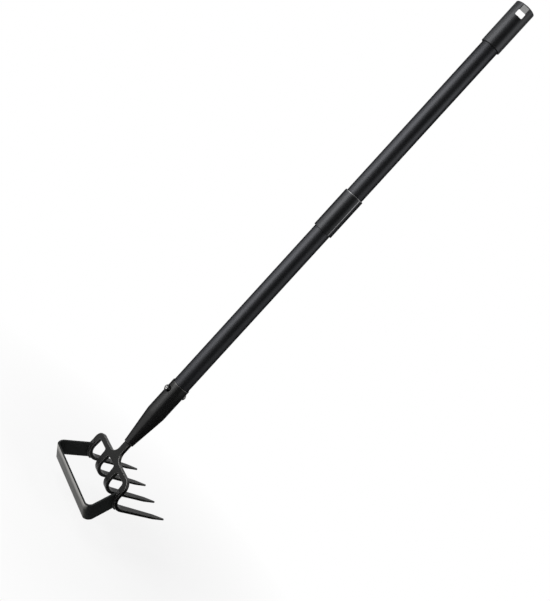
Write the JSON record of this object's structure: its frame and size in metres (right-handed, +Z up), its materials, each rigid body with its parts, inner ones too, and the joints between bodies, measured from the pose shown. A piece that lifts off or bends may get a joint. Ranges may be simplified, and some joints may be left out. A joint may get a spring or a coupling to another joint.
{
  "type": "garden hoe",
  "caption": "Long-handled garden hoe with a stirrup blade on one side, bent cultivator tines on the other, and a two-section tubular handle that screws apart and has a hanging eye.",
  "frame": {"origin": "centre of the hanging eye, on the handle's axis", "axes": "+Z up the handle to its hanging end, +X the way the tines point, +Y across the head"},
  "size_m": [0.1355, 0.1362, 0.8583],
  "materials": {
    "handle_plastic": "satin",
    "tube_paint": "satin",
    "head_paint": "matte",
    "blade_steel": "brushed",
    "bright_zinc": "bright",
    "washer_rubber": "matte"
  },
  "bodies": {
    "upper_section": {"end_cap": "handle_plastic", "upper_tube": "tube_paint", "threaded_plug": "handle_plastic"},
    "washer": {"joint_washer": "washer_rubber"},
    "lower_section": {"coupling": "handle_plastic", "lower_tube": "tube_paint", "ferrule": "head_paint", "ferrule_bolt": "bright_zinc", "ferrule_nut": "bright_zinc", "cultivator_fork": "head_paint", "neck_weld": "head_paint", "hoe_blade": "blade_steel", "blade_welds": "head_paint"}
  },
  "joints": [
    {"name": "joint_turn", "type": "hinge", "parent": "upper_section", "child": "washer", "pos_m": [0, 0, -0.334], "axis": [0, 0, -1], "range_deg": [0, 2160]},
    {"name": "joint_unscrew", "type": "slide", "parent": "washer", "child": "lower_section", "axis": [0, 0, -1], "range_m": [0, 0.024]}
  ],
  "couplings": [
    {"joint": "joint_unscrew", "follows": "joint_turn", "m_per_rad": 0.00063662}
  ]
}
